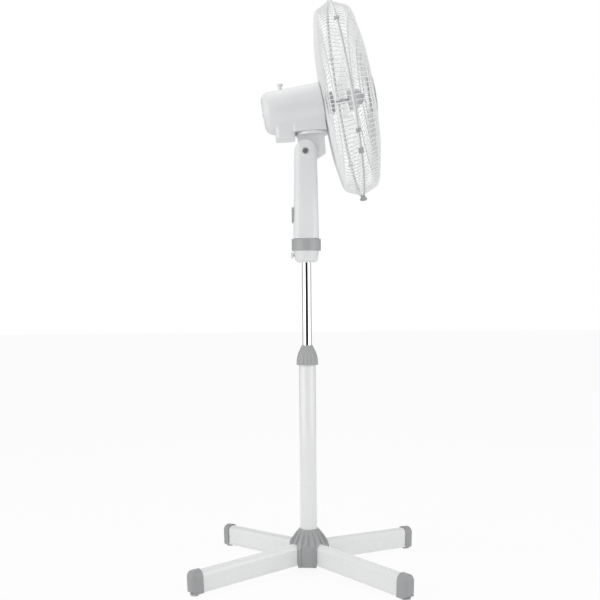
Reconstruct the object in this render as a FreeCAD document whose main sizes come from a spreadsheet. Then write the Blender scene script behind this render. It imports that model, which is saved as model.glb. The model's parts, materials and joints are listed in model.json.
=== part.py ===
import FreeCAD, Part
import Sketcher
import math
import os

# Pedestal fan, about 1.25 m tall, in millimetres.
# Origin: on the floor, on the pole's axis. +Z is up and the fan blows towards -Y.
# Seen from the front, the fan's right hand is +X.

V = FreeCAD.Vector
Placement = FreeCAD.Placement
Rotation = FreeCAD.Rotation
X_AXIS = V(1, 0, 0)
Y_AXIS = V(0, 1, 0)
Z_AXIS = V(0, 0, 1)
ORIGIN = V(0, 0, 0)

doc = FreeCAD.newDocument("pedestal_fan")

# ---------------------------------------------------------------- driving dimensions
DRIVING_SIZES = {
    # base: four legs in a cross
    "leg_turn": 39.2,           # direction of the first leg, degrees from +X
    "leg_droop": 2.85,          # fall of each leg towards its tip, degrees
    "leg_lift": 20.5,           # height of the legs' underside, carried in to the pole's axis
    "leg_start": 24,            # distance from the axis to a leg's inner end
    "leg_end": 297,             # distance from the axis to a leg's outer end
    "leg_width": 25,
    "leg_height": 44,
    "leg_wall": 1.4,
    "leg_flange": 1.2,          # how far the lower flange stands out on each side
    "leg_flange_height": 3,
    "leg_cap_cover": 11,        # length of leg inside its end cap
    "leg_cap_nose": 14,         # length of the cap beyond the leg
    "leg_cap_skin": 1.0,
    "foot_radius": 8.8,
    "foot_beyond": 2,           # middle of a foot pad beyond the leg's outer end
    "hub_radius": 22,
    "hub_floor": 14,
    "hub_top": 84,
    "hub_tongue": 38,           # length of the hub's arm inside each leg
    "cover_top": 91,
    "cover_radius": 45,
    "cover_skirt_top": 57,      # where the cover's round skirt turns into its cone
    "cover_wall": 5,
    "cover_flutes": 18,
    "cover_panel_width": 27,    # flat panels sunk into the cover between the legs
    "cover_panel_inset": 4,
    # pole
    "tube_radius": 18.5,
    "tube_wall": 1.5,
    "tube_foot": 30,
    "tube_top": 462,
    "collar_drop": 12,          # collar skirt below the top of the outer tube
    "collar_rise": 31,          # collar above the top of the outer tube
    "collar_radius": 24,
    "collar_flutes": 10,
    "rod_radius": 10.2,         # chrome inner tube
    "rod_wall": 1.0,
    "rod_inside": 410,          # inner tube below the neck's lower cap
    "rod_shown": 182,           # chrome between the collar and the neck
    "running_gap": 0.05,        # radial clearance of a running fit
    "moving_gap": 0.4,          # clearance between pieces that pass each other
    # neck with the speed switch
    "lower_cap_height": 25,
    "lower_cap_radius": 28,
    "band_height": 26,
    "band_radius": 32,
    "neck_rise": 190,           # from the band to the tilt screw
    "neck_foot_half": 28,       # half depth of the neck at its foot
    "neck_top_half": 24.5,      # half depth of the neck at the tilt screw
    "neck_foot_width": 60,
    "neck_top_width": 56,
    "neck_wall": 2.4,
    "fork_gap": 31,             # space between the neck's two cheeks
    "key_width": 40,
    "key_height": 7.6,
    "key_gap": 0.7,
    "key_travel": 4,
    "keys_up": 52,              # middle of the keys above the band
    "tilt_screw_radius": 3,
    "screw_recess_radius": 7.25,
    # tilt bracket and swing (all from the tilt screw's axis)
    "bracket_tilt": 3.5,        # rest angle of the bracket, degrees
    "axis_lift": 6.5,           # motor axis above the bracket's own plane, degrees
    "turntable_radius": 35,
    "turntable_top": 42.2,
    "turntable_thick": 6,
    "swing_forward": 16,        # swing axis in front of the tilt screw
    "swing_pin_radius": 5,
    "arm_radius": 13,           # link pin on the bracket, from the swing axis
    "crank_back": 62,           # worm wheel's axis behind the swing axis
    "crank_side": 16,           # worm wheel's axis beside the motor shaft
    "crank_throw": 8.5,
    "link_rise": 4.3,           # swing link above the turntable
    "link_thick": 2.5,
    "link_pin_radius": 2,
    "link_eye_gap": 1.1,        # play of the link's rear eye round the crank pin
    "worm_drop": 5,             # middle of the worm wheel below the fan axis at the tilt screw
    "worm_radius": 5.5,
    "wheel_shaft_radius": 3,
    "knob_rod_radius": 2.5,
    # motor head (along the fan's axis, measured from the guard's rim plane)
    "rim_reach": 107,           # rim plane in front of the tilt screw
    "motor_radius": 48.5,
    "motor_lift": 6.8,          # motor casing above the turntable
    "saddle_gap": 0.6,          # casing's saddle above the turntable
    "motor_back": -184,
    "motor_joint": -60,
    "motor_front": -53,
    "cover_skin": 2.4,
    "shaft_radius": 4,
    "rotor_radius": 24.8,
    "stator_inset": 5.5,        # stator inside the casing's outer face
    "front_frame": -75,
    "rear_frame": -116,
    "frame_depth": 8,
    # guard and blades
    "guard_radius": 211.2,
    "guard_depth_back": 50,
    "guard_depth_front": 61,
    "guard_wires": 120,
    "wire_radius": 0.9,
    "ring_radius": 1.5,
    "rim_wire_radius": 1.7,
    "hoop_depth": 2.6,
    "badge_radius": 50,
    "blade_count": 3,
    "blade_radius": 186,
    "blade_thick": 2.2,
    "blade_hub_radius": 38,
    "spinner_radius": 24,
}

sheet = doc.addObject("Spreadsheet::Sheet", "dims")
for row, (alias, size) in enumerate(DRIVING_SIZES.items(), start=1):
    sheet.set(f"A{row}", alias)
    sheet.set(f"B{row}", str(size))
    sheet.setAlias(f"B{row}", alias)
doc.recompute()


class Size:
    """A size that knows both its number and the sheet formula that it comes from."""

    def __init__(self, text, value):
        self.text = text
        self.value = value

    def joined(self, other, sign, value):
        return Size(f"({self.text} {sign} {other.text})", value)

    def __add__(self, other):
        other = as_size(other)
        return self.joined(other, "+", self.value + other.value)

    def __sub__(self, other):
        other = as_size(other)
        return self.joined(other, "-", self.value - other.value)

    def __mul__(self, other):
        other = as_size(other)
        return self.joined(other, "*", self.value * other.value)

    def __truediv__(self, other):
        other = as_size(other)
        return self.joined(other, "/", self.value / other.value)

    def __neg__(self):
        return Size(f"(0 - {self.text})", -self.value)

    __radd__ = __add__

    def __rmul__(self, other):
        return self * other

    def __rsub__(self, other):
        return as_size(other) - self

    def __float__(self):
        return float(self.value)

    def __int__(self):
        return int(self.value)


def as_size(number):
    return number if isinstance(number, Size) else Size(repr(number), number)


class Dims:
    """Reads a cell of the sheet by its alias."""

    def __getattr__(self, alias):
        return Size(f"dims.{alias}", float(sheet.get(alias)))


D = Dims()

# ---------------------------------------------------------------- heights that follow from them
collar_bottom = D.tube_top - D.collar_drop
collar_top = D.tube_top + D.collar_rise
cap_bottom = collar_top + D.rod_shown
band_bottom = cap_bottom + D.lower_cap_height
band_top = band_bottom + D.band_height
tilt_height = band_top + D.neck_rise
rod_bottom = cap_bottom - D.rod_inside
rod_top = band_top + 18
keys_height = band_top + D.keys_up
leg_half = D.leg_width / 2
tube_bore = D.tube_radius - D.tube_wall
fork_half = D.fork_gap / 2

# heights above the tilt screw, along the swing axis
axis_rise = D.turntable_top + D.motor_lift + D.motor_radius
casing_top = axis_rise + D.motor_radius
link_height = D.turntable_top + D.link_rise
worm_height = axis_rise - D.worm_drop

# motor, from its axis and along it
stator_radius = D.motor_radius - D.stator_inset
stack_front = D.front_frame - D.frame_depth
stack_back = D.rear_frame + D.frame_depth


# ---------------------------------------------------------------- the frames pieces are made in
def leg_frame(number):
    """X runs out along leg `number` under its floor, Z is up from the leg's underside."""
    direction = float(D.leg_turn) + 90 * number
    turn = Rotation(Z_AXIS, direction).multiply(Rotation(Y_AXIS, float(D.leg_droop)))
    return Placement(V(0, 0, float(D.leg_lift)), turn)


def bracket_frame(forward=0, up=0, side=0):
    """Origin at the tilt screw; X to the right, Y backwards and Z up along the swing axis."""
    turn = Rotation(X_AXIS, -float(D.bracket_tilt))
    start = Placement(V(0, 0, float(tilt_height)), turn)
    return start.multiply(Placement(V(float(side), -float(forward), float(up)), Rotation()))


def fan_frame():
    """Origin in the rim plane on the fan's axis; X to the right, Y up and Z along the blow."""
    lift = float(D.bracket_tilt) + float(D.axis_lift)
    start = Placement(V(0, 0, float(tilt_height)), Rotation(X_AXIS, -lift))
    centre = start.multVec(V(0, -float(D.rim_reach), float(axis_rise)))
    return Placement(centre, Rotation(X_AXIS, 90 - lift))


FAN = fan_frame()
SWING = bracket_frame(forward=D.swing_forward)
CRANK = bracket_frame(forward=D.swing_forward - D.crank_back, side=D.crank_side)

pieces = []


# ---------------------------------------------------------------- PartDesign helpers
def new_body(label, place=None):
    body = doc.addObject("PartDesign::Body", label)
    body.Label = label
    if place is not None:
        body.Placement = place
    pieces.append(body)
    return body


def origin_plane(body, role):
    return next(item for item in body.Origin.OriginFeatures if item.Role == role)


def fix_point(sketch, edge, end, x, y):
    """Hold one end of an edge at sheet-driven coordinates."""
    for kind, size, axis in (("DistanceX", x, -2), ("DistanceY", y, -1)):
        if size.value == 0:
            sketch.addConstraint(Sketcher.Constraint("PointOnObject", edge, end, axis))
        else:
            index = sketch.addConstraint(Sketcher.Constraint(kind, -1, 1, edge, end, size.value))
            sketch.setExpression(f"Constraints[{index}]", size.text)


def arc_between(start, finish, radius):
    """Minor arc from start to finish: anticlockwise for a radius above 0, else clockwise."""
    chord = finish - start
    left = V(-chord.y, chord.x, 0).normalize()
    rise = math.sqrt(max(radius * radius - chord.Length ** 2 / 4, 0))
    centre = (start + finish) * 0.5 + left * (rise if radius > 0 else -rise)
    first, last = (start, finish) if radius > 0 else (finish, start)
    angles = [math.atan2(point.y - centre.y, point.x - centre.x) for point in (first, last)]
    circle = Part.Circle(centre, Z_AXIS, abs(radius))
    return Part.ArcOfCircle(circle, angles[0], angles[1])


def add_loop(sketch, corners):
    """Closed outline. A corner is (x, y), or (x, y, radius) where an arc leads to the next."""
    sized = [[as_size(number) for number in corner] for corner in corners]
    first_edge = sketch.GeometryCount
    ends = []
    for number, corner in enumerate(sized):
        after = sized[(number + 1) % len(sized)]
        start = V(corner[0].value, corner[1].value, 0)
        finish = V(after[0].value, after[1].value, 0)
        edge = first_edge + number
        if len(corner) == 3:
            sketch.addGeometry(arc_between(start, finish, corner[2].value), False)
            size = corner[2] if corner[2].value > 0 else -corner[2]
            index = sketch.addConstraint(Sketcher.Constraint("Radius", edge, size.value))
            sketch.setExpression(f"Constraints[{index}]", size.text)
            ends.append((1, 2) if corner[2].value > 0 else (2, 1))
        else:
            sketch.addGeometry(Part.LineSegment(start, finish), False)
            ends.append((1, 2))
    for number, corner in enumerate(sized):
        edge = first_edge + number
        following = (number + 1) % len(sized)
        sketch.addConstraint(Sketcher.Constraint("Coincident", edge, ends[number][1],
                                                 first_edge + following, ends[following][0]))
        fix_point(sketch, edge, ends[number][0], corner[0], corner[1])


def add_circle(sketch, x, y, radius):
    x, y, radius = as_size(x), as_size(y), as_size(radius)
    edge = sketch.GeometryCount
    sketch.addGeometry(Part.Circle(V(x.value, y.value, 0), Z_AXIS, radius.value), False)
    fix_point(sketch, edge, 3, x, y)
    index = sketch.addConstraint(Sketcher.Constraint("Radius", edge, radius.value))
    sketch.setExpression(f"Constraints[{index}]", radius.text)


def new_sketch(body, name, role, start=0, turn=None):
    """Sketch on one of the body's own planes, moved along its normal by `start`."""
    sketch = body.newObject("Sketcher::SketchObject", name)
    sketch.AttachmentSupport = [(origin_plane(body, role), "")]
    sketch.MapMode = "FlatFace"
    start = as_size(start)
    sketch.AttachmentOffset = Placement(V(0, 0, start.value), turn or Rotation())
    if turn is None:
        sketch.setExpression("AttachmentOffset.Base.z", start.text)
    return sketch


def revolve(body, corners, name="turned", cut=False):
    """Turn an outline of (radius, height) corners about the body's Z axis."""
    sketch = new_sketch(body, f"{body.Name}_{name}_outline", "XZ_Plane")
    add_loop(sketch, corners)
    kind = "PartDesign::Groove" if cut else "PartDesign::Revolution"
    feature = body.newObject(kind, f"{body.Name}_{name}")
    feature.Profile = sketch
    feature.ReferenceAxis = (sketch, ["V_Axis"])
    feature.Angle = 360
    return feature


def turned_body(label, corners, place=None):
    body = new_body(label, place)
    revolve(body, corners)
    return body


def extrude(body, sketch, length, name, both=False, cut=False, back=False):
    """Pad or pocket a sketch; `both` runs it half to each side, `back` against the normal."""
    kind = "PartDesign::Pocket" if cut else "PartDesign::Pad"
    feature = body.newObject(kind, f"{body.Name}_{name}")
    feature.Profile = sketch
    length = as_size(length)
    feature.Length = length.value
    feature.setExpression("Length", length.text)
    feature.Midplane = both
    feature.Reversed = back
    return feature


def pattern(body, feature, count, name):
    """Repeat a feature evenly about the body's Z axis."""
    doc.recompute()
    turn = body.newObject("PartDesign::PolarPattern", f"{body.Name}_{name}")
    turn.Originals = [feature]
    turn.Axis = (origin_plane(body, "Z_Axis"), [""])
    turn.Angle = 360
    count = as_size(count)
    turn.Occurrences = int(count.value)
    turn.setExpression("Occurrences", count.text)
    body.Tip = turn
    return turn


def round_edges(body, chosen, radius, name):
    """Fillet the edges of the body's last feature that `chosen` accepts."""
    doc.recompute()
    base = body.Tip
    names = [f"Edge{number}" for number, edge in enumerate(base.Shape.Edges, start=1)
             if chosen(edge)]
    fillet = body.newObject("PartDesign::Fillet", f"{body.Name}_{name}")
    fillet.Base = (base, names)
    radius = as_size(radius)
    fillet.Radius = radius.value
    fillet.setExpression("Radius", radius.text)
    return fillet


# ---------------------------------------------------------------- helpers for built-up shapes
def shape_piece(label, shape, place=None):
    piece = doc.addObject("Part::Feature", label)
    piece.Label = label
    piece.Shape = shape
    if place is not None:
        piece.Placement = place.multiply(shape.Placement)
    pieces.append(piece)
    return piece


def solid_of_turn(points):
    """Solid of revolution about Z from (radius, height) points."""
    corners = [V(float(radius), 0, float(height)) for radius, height in points]
    face = Part.Face(Part.makePolygon(corners + corners[:1]))
    return face.revolve(ORIGIN, Z_AXIS, 360)


def rod(start, finish, radius):
    start, finish = V(*map(float, start)), V(*map(float, finish))
    line = finish - start
    return Part.makeCylinder(float(radius), line.Length, start, line)


def block(low, high):
    low, high = V(*map(float, low)), V(*map(float, high))
    size = high - low
    return Part.makeBox(size.x, size.y, size.z, low)


def rounded_block(low, high, radius):
    """Block with its upright edges rounded."""
    solid = block(low, high)
    upright = [edge for edge in solid.Edges
               if abs(edge.Vertexes[0].Z - edge.Vertexes[1].Z) > 1e-6]
    return solid.makeFillet(float(radius), upright)


def moved(shape, place):
    copy = shape.copy()
    copy.Placement = place.multiply(copy.Placement)
    return copy


def around(shape, count, axis=Z_AXIS):
    """Copies of a shape, evenly turned about an axis through the origin."""
    copies = []
    for number in range(int(count)):
        copies.append(moved(shape, Placement(ORIGIN, Rotation(axis, 360 * number / int(count)))))
    return copies


# ================================================================ BASE
def leg_outline(grow, low=0):
    """D-shaped section, `grow` outside the leg's own wall and without its flange."""
    half = leg_half + grow
    shoulder = D.leg_height - leg_half
    return [
        (-half, low),
        (half, low),
        (half, shoulder, half),
        (0, shoulder + half, half),
        (-half, shoulder),
    ]


def flanged_outline():
    """The leg's outer section, with the small flange along each lower edge."""
    foot = leg_half + D.leg_flange
    shoulder = D.leg_height - leg_half
    return [
        (-foot, 0),
        (foot, 0),
        (foot, D.leg_flange_height),
        (leg_half, D.leg_flange_height + D.leg_flange),
        (leg_half, shoulder, leg_half),
        (0, D.leg_height, leg_half),
        (-leg_half, shoulder),
        (-leg_half, D.leg_flange_height + D.leg_flange),
        (-foot, D.leg_flange_height),
    ]


def make_leg(label, number):
    body = new_body(label, leg_frame(number))
    sketch = new_sketch(body, f"{label}_section", "YZ_Plane", start=D.leg_start)
    add_loop(sketch, flanged_outline())
    add_loop(sketch, leg_outline(-D.leg_wall, low=D.leg_wall))
    extrude(body, sketch, D.leg_end - D.leg_start, "tube")


def make_leg_cap(label, number):
    body = new_body(label, leg_frame(number))
    cap_start = D.leg_end - D.leg_cap_cover
    grow = D.leg_flange + D.leg_cap_skin
    nose = new_sketch(body, f"{label}_nose", "YZ_Plane", start=cap_start)
    add_loop(nose, leg_outline(grow, low=-D.leg_cap_skin))
    extrude(body, nose, D.leg_cap_cover + D.leg_cap_nose, "shell")
    tip = float(D.leg_end + D.leg_cap_nose)
    round_edges(body, lambda edge: all(abs(point.X - tip) < 0.01 for point in edge.Vertexes),
                D.leg_cap_nose * 0.7, "round_nose")
    socket = new_sketch(body, f"{label}_socket", "YZ_Plane", start=cap_start)
    add_loop(socket, leg_outline(D.leg_flange + 0.1, low=-0.1))
    extrude(body, socket, D.leg_cap_cover + 0.1, "leg_pocket", cut=True, back=True)
    plug = new_sketch(body, f"{label}_plug", "YZ_Plane", start=cap_start - 6)
    add_loop(plug, leg_outline(-D.leg_wall - 0.2, low=D.leg_wall + 0.2))
    extrude(body, plug, D.leg_cap_cover + 7, "plug_tongue")


CORNERS = {"rear_right": 0, "rear_left": 1, "front_left": 2, "front_right": 3}
for corner, number in CORNERS.items():
    make_leg(f"leg_{corner}", number)
for corner, number in CORNERS.items():
    make_leg_cap(f"leg_cap_{corner}", number)


def make_feet():
    """Four round pads under the end caps, cut to the slope of the caps' undersides."""
    reach = float(D.leg_end + D.foot_beyond)
    pads = []
    for number in CORNERS.values():
        direction = Rotation(Z_AXIS, float(D.leg_turn) + 90 * number)
        pad = rod((reach, 0, 0), (reach, 0, D.leg_lift), D.foot_radius)
        pad = moved(pad.makeFillet(1.2, [pad.Edges[2]]), Placement(ORIGIN, direction))
        above = block((0, -40, -D.leg_cap_skin), (D.leg_end + 60, 40, 60))
        pads.append(pad.cut(moved(above, leg_frame(number))))
    shape_piece("foot_pads", Part.makeCompound([pad.Solids[0] for pad in pads]))


make_feet()


def make_hub():
    """Socket for the pole with an arm inside each leg."""
    body = new_body("base_hub", Placement(ORIGIN, Rotation(Z_AXIS, float(D.leg_turn))))
    bore = D.tube_radius + D.running_gap
    revolve(body, [
        (0, D.hub_floor),
        (D.hub_radius, D.hub_floor),
        (D.hub_radius, D.hub_top),
        (bore, D.hub_top),
        (bore, D.tube_foot),
        (0, D.tube_foot),
    ])
    droop = Rotation(X_AXIS, float(D.leg_droop))
    start = D.hub_radius - 5
    arm = new_sketch(body, "base_hub_arm_section", "YZ_Plane", turn=droop)
    arm.AttachmentOffset = Placement(
        V(0, float(D.leg_lift), 0) + droop.multVec(V(0, 0, float(start))), droop)
    add_loop(arm, leg_outline(-D.leg_wall - 0.2, low=D.leg_wall + 0.2))
    finger = extrude(body, arm, D.hub_tongue + 5, "arm")
    pattern(body, finger, 4, "arms")
    bore_cut = new_sketch(body, "base_hub_bore", "XY_Plane", start=D.tube_foot)
    add_circle(bore_cut, 0, 0, bore)
    extrude(body, bore_cut, D.hub_top - D.tube_foot, "bore", cut=True, back=True)


def make_hub_cover():
    """Fluted cone round the pole on a skirt that closes over the legs' inner ends."""
    top, wall, radius = float(D.cover_top), float(D.cover_wall), float(D.cover_radius)
    floor, skirt_top = float(D.hub_floor), float(D.cover_skirt_top)
    tube_hole = float(D.tube_radius) + 0.2
    rim = tube_hole + 4.3
    fall = top - skirt_top
    run = radius - rim
    outer = solid_of_turn([
        (0, floor), (radius, floor), (radius, skirt_top - 3), (radius - 1, skirt_top),
        (rim + 0.8 * run, skirt_top + 0.24 * fall), (rim + 0.57 * run, skirt_top + 0.47 * fall),
        (rim + 0.33 * run, skirt_top + 0.69 * fall), (rim, top - 2), (rim - 1.5, top), (0, top)])
    hub_edge = float(D.hub_radius) + 0.3
    inner = solid_of_turn([
        (0, floor - 1), (radius - wall, floor - 1), (radius - wall, skirt_top - 6),
        (rim + 0.55 * run, skirt_top), (rim + 0.2 * run, skirt_top + 0.3 * fall),
        (hub_edge, float(D.hub_top) + 0.3), (0, float(D.hub_top) + 0.3)])
    slope = V(run, 0, -fall).normalize()
    start = V(rim + 1.6, 0, top - 0.8) - slope * 6
    flute = rod(start, start + slope * 52, 3.4)
    outer = outer.cut(Part.makeCompound(around(flute, D.cover_flutes)))
    panel_half = float(D.cover_panel_width) / 2
    panel = block((radius - float(D.cover_panel_inset), -panel_half, floor - 1),
                  (radius + 9, panel_half, skirt_top + 3))
    for number in CORNERS.values():
        direction = Rotation(Z_AXIS, float(D.leg_turn) + 45 + 90 * number)
        outer = outer.cut(moved(panel, Placement(ORIGIN, direction)))
        tunnel = leg_prism(0.3, 8, radius * 2, -30)
        inner = inner.fuse(moved(tunnel, leg_frame(number)))
    hole = rod((0, 0, floor), (0, 0, top + 5), tube_hole)
    cover = outer.cut(inner).cut(hole)
    largest = max(cover.Solids, key=lambda solid: solid.Volume)
    shape_piece("hub_cover", largest)


def leg_prism(grow, start, finish, low):
    """Solid of the leg's full section, `grow` larger, between two distances along the leg."""
    half = float(leg_half + D.leg_flange) + grow
    inner_half = float(leg_half) + grow
    shoulder = float(D.leg_height - leg_half)
    top = Part.Arc(V(start, inner_half, shoulder), V(start, 0, shoulder + inner_half),
                   V(start, -inner_half, shoulder)).toShape()
    flange = float(D.leg_flange_height) + grow
    rise = flange + float(D.leg_flange)
    right = Part.makePolygon([V(start, -inner_half, shoulder), V(start, -inner_half, rise),
                              V(start, -half, flange), V(start, -half, low),
                              V(start, half, low), V(start, half, flange),
                              V(start, inner_half, rise), V(start, inner_half, shoulder)])
    return Part.Face(Part.Wire([top] + right.Edges)).extrude(V(finish - start, 0, 0))


def make_hub_screws():
    """One screw up through the floor of each leg into the hub's arm."""
    screws = []
    for number in CORNERS.values():
        reach = float(D.hub_radius) + 24
        head = rod((reach, 0, -2.2), (reach, 0, -0.02), 5)
        screws.append(moved(head, leg_frame(number)))
    shape_piece("hub_screws", Part.makeCompound(screws))


make_hub()
make_hub_cover()
make_hub_screws()

# ================================================================ POLE
turned_body("outer_tube", [
    (tube_bore, D.tube_foot),
    (D.tube_radius, D.tube_foot),
    (D.tube_radius, D.tube_top),
    (tube_bore, D.tube_top),
])


def make_collet():
    """Plastic bush in the top of the outer tube, with split fingers that grip the rod."""
    bore = D.rod_radius + D.running_gap
    body = new_body("tube_collet")
    revolve(body, [
        (bore, D.tube_top - 45),
        (tube_bore, D.tube_top - 45),
        (tube_bore, D.tube_top),
        (D.tube_radius, D.tube_top),
        (D.tube_radius, D.tube_top + 2),
        (bore + 6, D.tube_top + 2),
        (bore + 5, D.tube_top + 10),
        (bore + 1.4, D.tube_top + 24),
        (bore, D.tube_top + 24),
    ])
    slit = new_sketch(body, "tube_collet_slit", "XY_Plane", start=D.tube_top + 5)
    add_loop(slit, [(0, -0.8), (D.tube_radius, -0.8), (D.tube_radius, 0.8), (0, 0.8)])
    cut = extrude(body, slit, 40, "slit_cut", cut=True, back=True)
    pattern(body, cut, 4, "slits")


def make_height_collar():
    """Fluted clamp nut: a wide skirt over the tube, drawn in to the chrome rod."""
    gap = D.moving_gap
    bore = D.rod_radius + D.running_gap
    body = new_body("height_collar")
    revolve(body, [
        (D.tube_radius + gap, collar_bottom),
        (D.collar_radius - 0.8, collar_bottom),
        (D.collar_radius, collar_bottom + 1.5),
        (D.collar_radius - 0.8, collar_bottom + 9),
        (D.collar_radius - 5, D.tube_top + 9, 24),
        (D.rod_radius + 3.2, collar_top - 10),
        (D.rod_radius + 1.8, collar_top),
        (D.rod_radius + gap, collar_top),
        (D.rod_radius + gap, D.tube_top + 25),
        (bore + 1.4 + gap, D.tube_top + 24.4),
        (bore + 5 + gap, D.tube_top + 10.4),
        (bore + 6 + gap, D.tube_top + 2 + gap),
        (D.tube_radius + gap, D.tube_top + 2 + gap),
    ])
    flute = new_sketch(body, "height_collar_flute", "XY_Plane", start=collar_bottom - 1)
    add_circle(flute, D.collar_radius + 2.6, 0, 4.2)
    cut = extrude(body, flute, D.collar_rise + D.collar_drop, "flute_cut", cut=True, back=True)
    pattern(body, cut, D.collar_flutes, "flutes")


make_collet()
make_height_collar()

turned_body("chrome_rod", [
    (D.rod_radius - D.rod_wall, rod_bottom),
    (D.rod_radius, rod_bottom),
    (D.rod_radius, rod_top),
    (D.rod_radius - D.rod_wall, rod_top),
])
turned_body("rod_guide", [
    (D.rod_radius, rod_bottom),
    (tube_bore - D.running_gap - 0.03, rod_bottom),
    (tube_bore - D.running_gap - 0.03, rod_bottom + 20),
    (D.rod_radius, rod_bottom + 20),
])

# ================================================================ NECK
def make_lower_cap():
    """Rounded cap under the band: holds the rod, the fixing screw and the cord gland."""
    edge = D.lower_cap_radius - 3
    bore = D.rod_radius + D.running_gap
    body = new_body("neck_lower_cap")
    revolve(body, [
        (bore, cap_bottom),
        (edge - 6, cap_bottom, 8),
        (edge, cap_bottom + 6),
        (D.lower_cap_radius, band_bottom),
        (D.lower_cap_radius - 3, band_bottom),
        (edge - 3, cap_bottom + 7),
        (edge - 6, cap_bottom + 3),
        (bore + 4, cap_bottom + 3),
        (bore + 4, band_bottom),
        (bore, band_bottom),
    ])
    screw_hole = new_sketch(body, "neck_lower_cap_screw_hole", "XZ_Plane")
    add_circle(screw_hole, 0, cap_bottom + 15, 3.3)
    extrude(body, screw_hole, D.lower_cap_radius + 5, "screw_hole_cut", cut=True, back=False)
    gland_hole = new_sketch(body, "neck_lower_cap_gland_hole", "YZ_Plane")
    add_circle(gland_hole, 0, cap_bottom + 14, 4.2)
    extrude(body, gland_hole, D.lower_cap_radius + 5, "gland_hole_cut", cut=True, back=True)


make_lower_cap()

turned_body("neck_band", [
    (D.band_radius - 5, band_bottom),
    (D.band_radius - 0.8, band_bottom),
    (D.band_radius, band_bottom + 0.8),
    (D.band_radius, band_top - 0.8),
    (D.band_radius - 0.8, band_top),
    (D.band_radius - 5, band_top),
])

turned_body("cord_gland", [
    (3.4, D.lower_cap_radius - 8.5),
    (5.2, D.lower_cap_radius - 8.5),
    (5.2, D.lower_cap_radius - 6.5),
    (4.1, D.lower_cap_radius - 6.5),
    (4.1, D.lower_cap_radius - 0.4),
    (6.5, D.lower_cap_radius - 0.4),
    (6.5, D.lower_cap_radius + 1),
    (5.4, D.lower_cap_radius + 1.4),
    (4.6, D.lower_cap_radius + 10),
    (3.4, D.lower_cap_radius + 10),
], Placement(V(0, 0, float(cap_bottom) + 14), Rotation(Y_AXIS, 90)))

turned_body("neck_fixing_screw", [
    (0, D.rod_radius + 0.3),
    (3, D.rod_radius + 0.3),
    (3, D.lower_cap_radius + 0.4),
    (6.5, D.lower_cap_radius + 0.4),
    (6.5, D.lower_cap_radius + 4.5),
    (5, D.lower_cap_radius + 6),
    (0, D.lower_cap_radius + 6),
], Placement(V(0, 0, float(cap_bottom) + 15), Rotation(X_AXIS, -90)))


def rounded_rectangle(width, depth, radius, height):
    """Closed wire at a height: a rectangle with rounded corners."""
    x, y, r = width / 2, depth / 2, radius
    flat = r * (1 - math.sqrt(0.5))
    edges = []
    for quarter in range(4):
        turn = Rotation(Z_AXIS, 90 * quarter)
        across, along = (x, y) if quarter % 2 == 0 else (y, x)
        start, middle = V(across, along - r, 0), V(across - flat, along - flat, 0)
        finish, onward = V(across - r, along, 0), V(-across + r, along, 0)
        points = [turn.multVec(point) + V(0, 0, height)
                  for point in (start, middle, finish, onward)]
        edges.append(Part.Arc(points[0], points[1], points[2]).toShape())
        edges.append(Part.makeLine(points[2], points[3]))
    return Part.Wire(edges)


def neck_solid(shrink):
    """The neck's outer form, or its hollow when `shrink` is the wall."""
    foot, pivot = float(band_top), float(tilt_height)
    top_half = float(D.neck_top_half) - shrink
    foot_half = float(D.neck_foot_half) - shrink
    sections = []
    for height, width, half in ((foot - 0.001 * shrink, D.neck_foot_width, foot_half),
                                (pivot + 40, D.neck_top_width, top_half + 0.6)):
        sections.append(rounded_rectangle(float(width) - 2 * shrink, 2 * half, 16 - shrink, height))
    tapered = Part.makeLoft(sections, True, True)
    side = 60
    arch = Part.Arc(V(-side, top_half, pivot), V(-side, 0, pivot + top_half),
                    V(-side, -top_half, pivot)).toShape()
    flank = Part.makePolygon([V(-side, -top_half, pivot), V(-side, -foot_half, foot - 1),
                              V(-side, foot_half, foot - 1), V(-side, top_half, pivot)])
    profile = Part.Face(Part.Wire([arch] + flank.Edges))
    return tapered.common(profile.extrude(V(2 * side, 0, 0)))


def make_neck_shells():
    """Two half shells that close round the switch and end in the fork for the tilt bracket."""
    wall, pivot, fork = float(D.neck_wall), float(tilt_height), float(fork_half)
    fork_floor = pivot - 30
    outer = neck_solid(0)
    hollow = neck_solid(wall)
    lower = block((-60, -60, band_top - 2), (60, 60, fork_floor - wall))
    cheeks = block((fork + wall, -60, fork_floor - wall - 1), (60, 60, pivot + 60))
    cheeks = cheeks.fuse(block((-60, -60, fork_floor - wall - 1), (-fork - wall, 60, pivot + 60)))
    hollow = hollow.common(lower.fuse(cheeks))
    boss = rod((-60, 0, pivot), (60, 0, pivot), float(D.screw_recess_radius) + wall)
    shell = outer.cut(hollow).fuse(outer.common(boss))
    shell = shell.cut(block((-fork, -60, fork_floor), (fork, 60, pivot + 60)))
    shell = shell.cut(rod((-60, 0, pivot), (60, 0, pivot), D.tilt_screw_radius + 0.1))
    for side in (-1, 1):
        recess = rod((side * (fork + 5), 0, pivot), (side * 60, 0, pivot), D.screw_recess_radius)
        shell = shell.cut(recess)
    half_width = float(D.key_width) / 2 + 0.4
    half_height = float(4 * D.key_height + 3 * D.key_gap) / 2 + 0.4
    middle = float(keys_height)
    window = block((-half_width, 10, middle - half_height), (half_width, 60, middle + half_height))
    shell = shell.cut(window)
    left = shell.common(block((-60, -60, 0), (-0.02, 60, pivot + 60)))
    right = shell.common(block((0.02, -60, 0), (60, 60, pivot + 60)))
    shape_piece("neck_shell_left", max(left.Solids, key=lambda solid: solid.Volume))
    shape_piece("neck_shell_right", max(right.Solids, key=lambda solid: solid.Volume))


make_neck_shells()


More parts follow.
